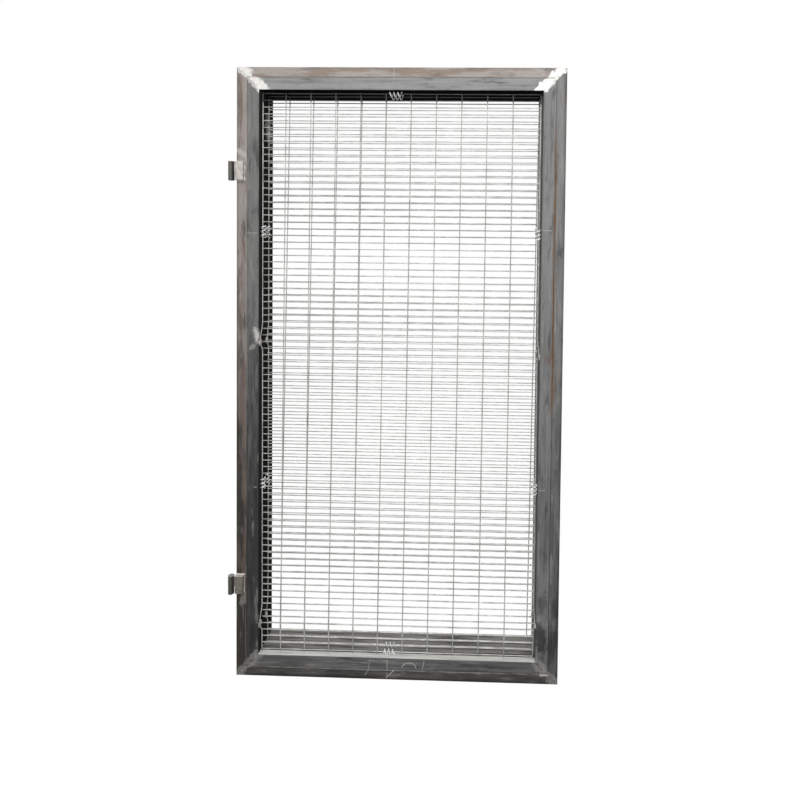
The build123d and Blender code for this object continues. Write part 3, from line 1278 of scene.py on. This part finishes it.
@dataclass
class Studio:
    """Floor, backdrop light, lamps and the camera at the photograph's angle."""

    leaf: Leaf
    picture: int = 800
    focal_px: float = 501.6
    principal_px: tuple[float, float] = (461.9, 267.5)
    eye_mm: tuple[float, float, float] = (935.3, -1960.1, 1700.4)
    yaw: float = 1.290
    pitch: float = -1.358
    roll: float = -0.659
    sensor_mm: float = 36.0
    floor_half: float = 30.0
    floor_gap: float = 0.5 * MM
    floor_white: float = 0.9
    floor_glow: float = 1.1

    def shown_white(self, tree: bpy.types.NodeTree) -> Socket:
        """Share of a ray that sees the backdrop itself: camera, glossy and transmission rays."""
        rays = add_node(tree, "ShaderNodeLightPath").outputs
        seen = rays["Is Camera Ray"]
        for kind in ("Is Glossy Ray", "Is Transmission Ray"):
            links = {0: seen, 1: rays[kind]}
            seen = add_node(tree, "ShaderNodeMath", {"operation": "MAXIMUM"}, links).outputs[0]
        return seen

    def world(self) -> None:
        """A white surround for the eye and a soft grey one for the light."""
        world = bpy.data.worlds.new("studio_world")
        tree = empty_tree(world)
        seen = self.shown_white(tree)
        place = add_node(tree, "ShaderNodeTexCoord").outputs["Generated"]
        height = add_node(tree, "ShaderNodeSeparateXYZ", links={0: place}).outputs[2]
        sky = {"Value": height, "From Min": -0.3, "From Max": 0.8, "To Min": 0.02, "To Max": 0.5}
        light = add_node(tree, "ShaderNodeMapRange", SMOOTH, sky).outputs[0]
        strength = add_node(tree, "ShaderNodeMix", {"data_type": "FLOAT"}, {0: seen, 2: light, 3: 1.0})
        glow = {"Color": WHITE, "Strength": strength.outputs[0]}
        colour = add_node(tree, "ShaderNodeBackground", links=glow)
        add_node(tree, "ShaderNodeOutputWorld", links={"Surface": colour.outputs[0]})
        bpy.context.scene.world = world

    def floor(self) -> None:
        """A plain pale floor at the leaf's foot."""
        material = bpy.data.materials.new("pale_floor")
        tree = empty_tree(material)
        plain = add_node(tree, "ShaderNodeBsdfDiffuse", links={"Color": linear("6c6c6c")}).outputs[0]
        glow = {"Color": WHITE, "Strength": self.floor_glow}
        white = add_node(tree, "ShaderNodeEmission", links=glow).outputs[0]
        parts = {0: self.shown_white(tree), 1: self.floor_white}
        share = add_node(tree, "ShaderNodeMath", {"operation": "MULTIPLY"}, parts)
        both = add_node(tree, "ShaderNodeMixShader", links={0: share.outputs[0], 1: plain, 2: white})
        add_node(tree, "ShaderNodeOutputMaterial", links={"Surface": both.outputs[0]})
        half, level = self.floor_half, self.leaf.foot - self.floor_gap
        corners = [(x * half, y * half, level) for x, y in ((-1, -1), (1, -1), (1, 1), (-1, 1))]
        mesh = bpy.data.meshes.new("floor")
        mesh.from_pydata(corners, [], [(0, 1, 2, 3)])
        mesh.materials.append(material)
        plane = place_object("floor", mesh)

    def lamp(self, name: str, place: Vector, aim: Vector, size: float, power: float) -> None:
        """Add a soft square lamp.

        Args:
            name: the lamp's name.
            place: where it hangs.
            aim: the point that it faces.
            size: its side in metres.
            power: its power in watts.
        """
        data = bpy.data.lights.new(name, "AREA")
        data.shape, data.size, data.energy = "SQUARE", size, power
        lamp = place_object(name, data)
        lamp.location = place
        lamp.rotation_euler = (aim - place).to_track_quat("-Z", "Y").to_euler()

    def camera(self) -> None:
        """The camera of the photograph, worked out from the frame's corners."""
        leaf, picture = self.leaf, self.picture
        data = bpy.data.cameras.new("photo_camera")
        data.sensor_width = self.sensor_mm
        data.lens = self.focal_px / picture * self.sensor_mm
        data.shift_x = (picture / 2 - self.principal_px[0]) / picture
        data.shift_y = (self.principal_px[1] - picture / 2) / picture
        turn = Matrix.Identity(3)
        for angle, axis in ((self.yaw, "Z"), (self.pitch, "X"), (self.roll, "Y")):
            turn = turn @ Matrix.Rotation(math.radians(angle), 3, axis)
        right, ahead, up = (turn @ Vector(v) for v in ((1, 0, 0), (0, 1, 0), (0, 0, 1)))
        place = Vector((leaf.left, leaf.front, leaf.foot)) + Vector(self.eye_mm) * MM
        camera = place_object("photo_camera", data)
        columns = Matrix((right, up, -ahead)).transposed()
        camera.matrix_world = Matrix.Translation(place) @ columns.to_4x4()
        bpy.context.scene.camera = camera

    def build(self) -> None:
        """Set the whole studio up."""
        self.world()
        self.floor()
        self.camera()
        x, z = self.leaf.centre
        middle = Vector((x, self.leaf.front, z))
        for name, (over, y, above), aim, size, power in (
            ("key_lamp", (0.1, -3.2, 2.8), (0, 0, 0.7), 2.8, 105),
            ("fill_lamp", (2.2, -3.0, -0.5), (0.3, 0, -0.6), 2.2, 34),
            ("rear_lamp", (-0.8, 3.4, 2.2), (0, 0, 0), 2.4, 60),
        ):
            self.lamp(name, Vector((x + over, y, z + above)), middle + Vector(aim), size, power)
        bpy.context.scene.view_settings.view_transform = "Standard"


def main() -> None:
    """Dress the frame, then build the mats, their fixings, the hinges' welds, the marks and the studio."""
    logging.basicConfig(level=logging.INFO, format="%(name)s: %(message)s")
    leaf = Leaf.from_frame()
    FrameTubes(leaf).dress()
    MitreWelds(leaf).build()
    # The mats' wire is darkened near the head as painted shade under the top rail
    shaded_above = leaf.head - leaf.frame_face - 52 * MM
    dull_wire = DrawnWire(
        "zinc_coated_wire_dull", "cdcdca", "9d9d9a", "7d756c", 0.42, 0.5, shaded_above=shaded_above
    ).make()
    for side in Side:
        WireMat(leaf, side, dull_wire).build()
    # The spiral wire's light zinc is lifted to full white as a painted highlight
    spiral_wire_with_painted_highlight = DrawnWire("zinc_coated_wire_painted_highlight", "ffffff", "e9e9e8", "b0b0ae", 0.34, 0.35, 0.12).make()
    SpiralClips(spiral_wire_with_painted_highlight).build()
    Tacks(leaf, WeldMetal("weld_metal_tacks", "dad8d2", "7c7672").make()).build()
    Hinges(leaf).dress()
    ChalkMarks(leaf).build()
    Studio(leaf).build()


if __name__ == "__main__":
    main()
